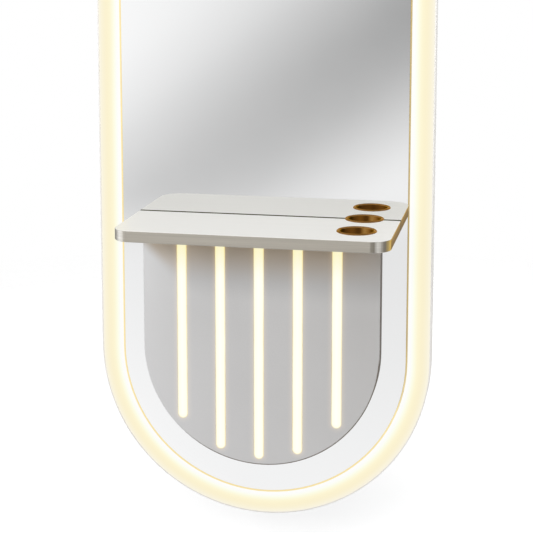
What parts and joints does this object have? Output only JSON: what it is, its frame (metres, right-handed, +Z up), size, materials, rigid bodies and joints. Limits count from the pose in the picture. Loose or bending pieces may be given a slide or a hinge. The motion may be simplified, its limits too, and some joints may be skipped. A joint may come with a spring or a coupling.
{
  "type": "wall-mounted styling station",
  "caption": "Wall-mounted salon styling station: tall round-ended lit mirror, brushed metal shelf with brass-lined tool holes, and a slotted light panel below.",
  "frame": {"origin": "on the wall plane, in the middle of the four wall holes", "axes": "+Z up, +Y into the wall, +X to the right as seen from the front"},
  "size_m": [0.72, 0.4415, 1.8],
  "materials": {
    "rim_metal": "satin",
    "opal_ring": "frosted, lit",
    "gold_trim": "satin",
    "mirror": "polished",
    "carrier_sheet": "mill",
    "adhesive_foam": "foam",
    "inner_aluminium": "mill",
    "led_strip": "white solder mask",
    "back_paint": "powder coat",
    "zinc_fasteners": "zinc plated",
    "galvanised_steel": "galvanised",
    "frame_steel": "powder coat",
    "black_rubber": "matte",
    "driver_case": "satin",
    "white_plastic": "moulded",
    "lead_sheath": "matte",
    "shelf_metal": "lengthwise hairline",
    "core_board": "fibre board",
    "dowel_wood": "turned",
    "arm_steel": "powder coat",
    "panel_steel": "satin",
    "opal_bar": "frosted, lit",
    "sleeve_brass": "satin, darkened"
  },
  "bodies": {
    "station": {"arm_bolts": "zinc_fasteners", "arm_bushes": "white_plastic", "arm_nuts": "zinc_fasteners", "arm_screws": "zinc_fasteners", "back_screws": "zinc_fasteners", "back_sheet": "back_paint", "bar_strips": "led_strip", "cable_grommet": "black_rubber", "diffuser_ring": "opal_ring", "driver_lead": "lead_sheath", "driver_screws": "zinc_fasteners", "frame_crossbar_bottom": "frame_steel", "frame_crossbar_lower": "frame_steel", "frame_crossbar_top": "frame_steel", "frame_crossbar_upper": "frame_steel", "frame_upright_left": "frame_steel", "frame_upright_right": "frame_steel", "hanger_bolts": "zinc_fasteners", "hanger_lower": "galvanised_steel", "hanger_nuts": "zinc_fasteners", "hanger_upper": "galvanised_steel", "led_channel": "inner_aluminium", "led_driver": "driver_case", "led_strip_ring": "led_strip", "light_bar_1": "opal_bar", "light_bar_2": "opal_bar", "light_bar_3": "opal_bar", "light_bar_4": "opal_bar", "light_bar_5": "opal_bar", "mirror_carrier": "carrier_sheet", "mirror_glass": "mirror", "mirror_pads": "adhesive_foam", "mirror_trim": "gold_trim", "outer_rim": "rim_metal", "panel_connector": "white_plastic", "panel_face": "panel_steel", "panel_lead": "lead_sheath", "panel_plate": "inner_aluminium", "panel_standoffs": "inner_aluminium", "plate_screws": "zinc_fasteners", "ring_lead": "lead_sheath", "shelf_arm_left": "arm_steel", "shelf_arm_right": "arm_steel", "shelf_core_front": "core_board", "shelf_core_rear": "core_board", "shelf_dowels": "dowel_wood", "shelf_gasket": "black_rubber", "shelf_skin_front": "shelf_metal", "shelf_skin_rear": "shelf_metal", "strip_jumpers": "white_plastic", "terminal_block": "white_plastic", "wall_bumpers": "black_rubber", "wall_rail_lower": "galvanised_steel", "wall_rail_upper": "galvanised_steel"},
    "sleeve_rear": {"tool_sleeve_rear": "sleeve_brass"},
    "sleeve_middle": {"tool_sleeve_middle": "sleeve_brass"},
    "sleeve_front": {"tool_sleeve_front": "sleeve_brass"}
  },
  "joints": [
    {"name": "lift_sleeve_rear", "type": "slide", "parent": "station", "child": "sleeve_rear", "axis": [0, 0, 1], "range_m": [0, 0.04]},
    {"name": "lift_sleeve_middle", "type": "slide", "parent": "station", "child": "sleeve_middle", "axis": [0, 0, 1], "range_m": [0, 0.04]},
    {"name": "lift_sleeve_front", "type": "slide", "parent": "station", "child": "sleeve_front", "axis": [0, 0, 1], "range_m": [0, 0.04]}
  ]
}
